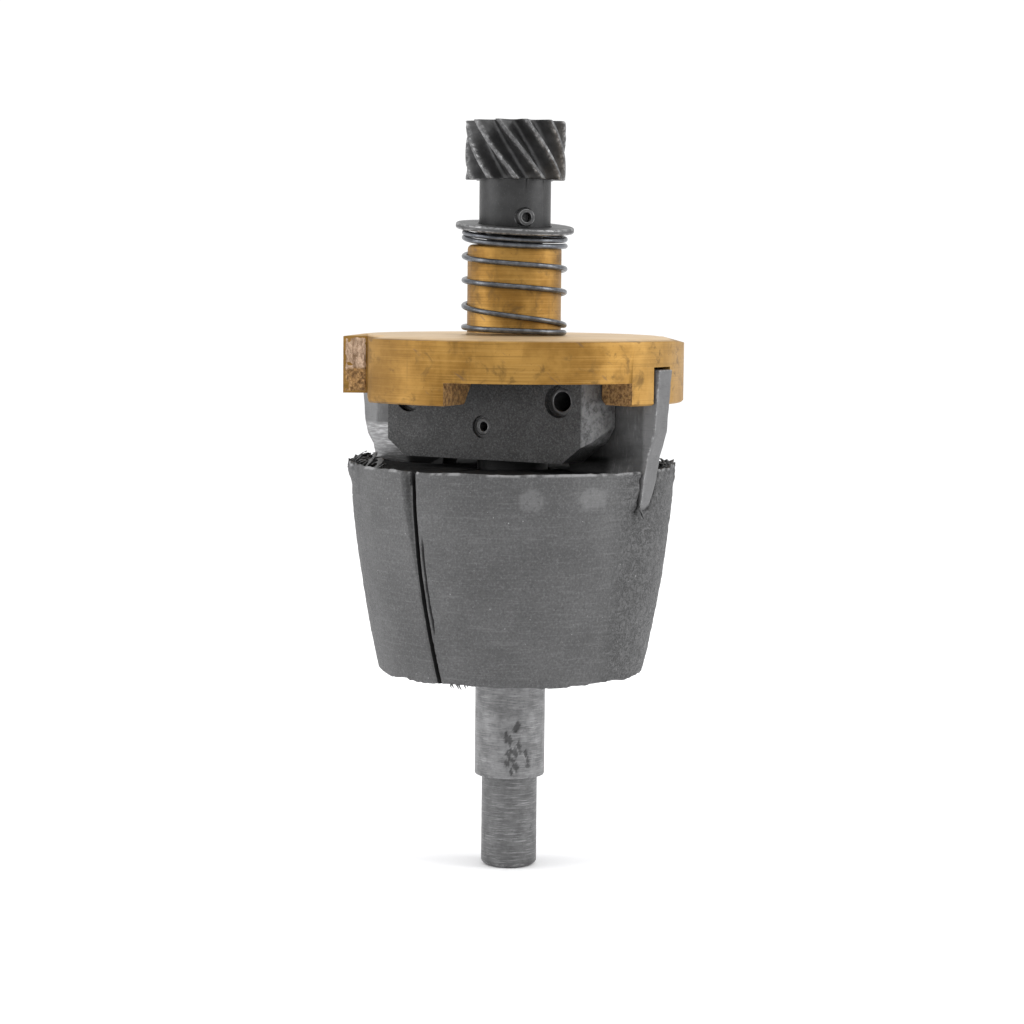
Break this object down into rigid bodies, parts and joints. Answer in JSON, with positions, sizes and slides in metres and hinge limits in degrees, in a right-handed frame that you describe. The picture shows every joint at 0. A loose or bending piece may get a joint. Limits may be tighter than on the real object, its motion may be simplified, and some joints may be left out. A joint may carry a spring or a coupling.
{
  "type": "centrifugal governor rotor",
  "caption": "Gear driven centrifugal governor rotor: half cone weights on bell crank arms lift a spring loaded flanged brass sleeve along a stepped shaft.",
  "frame": {"origin": "on the shaft's axis, at the shoulder between the lower journal and the stem", "axes": "+Z along the shaft towards the drive gear; the arms swing in the XZ plane, and their pivot pins lie along Y"},
  "size_m": [0.0626, 0.0606, 0.1332],
  "materials": {
    "shaft_steel": "turned, dull, with pits",
    "gear_steel": "dark, with bright worn crests",
    "pin_steel": "dull spring steel",
    "washer_steel": "dull, stamped edge",
    "spring_steel": "drawn wire, satin",
    "brass": "turned, stained, worn edges",
    "spider_steel": "dark, grainy",
    "arm_steel": "sheared plate, brushed and rubbed",
    "lead": "soft grey casting, scratched, matte"
  },
  "bodies": {
    "rotor": {"shaft": "shaft_steel", "drive_gear": "gear_steel", "gear_roll_pin": "pin_steel", "thrust_washer": "washer_steel", "spring": "spring_steel", "spider": "spider_steel", "spider_roll_pin": "pin_steel", "pivot_pin_right": "pin_steel", "pivot_pin_left": "pin_steel"},
    "lifting_sleeve": {"sleeve": "brass"},
    "flyweight_right": {"arm_right": "arm_steel", "weight_right": "lead"},
    "flyweight_left": {"arm_left": "arm_steel", "weight_left": "lead"}
  },
  "joints": [
    {"name": "weight_right_swing", "type": "hinge", "parent": "rotor", "child": "flyweight_right", "pos_m": [0.0156, 0, 0.0681], "axis": [0, -1, 0], "range_deg": [0, 6]},
    {"name": "weight_left_swing", "type": "hinge", "parent": "rotor", "child": "flyweight_left", "pos_m": [-0.0156, 0, 0.0681], "axis": [0, 1, 0], "range_deg": [0, 6]},
    {"name": "sleeve_lift", "type": "slide", "parent": "rotor", "child": "lifting_sleeve", "axis": [0, 0, 1], "range_m": [0, 0.0015], "stiffness_N_per_m": 400, "springref_m": -0.005, "deforming": ["spring"]}
  ],
  "couplings": [
    {"joint": "weight_left_swing", "follows": "weight_right_swing", "ratio": 1},
    {"joint": "sleeve_lift", "follows": "weight_right_swing", "m_per_rad": 0.0142}
  ]
}
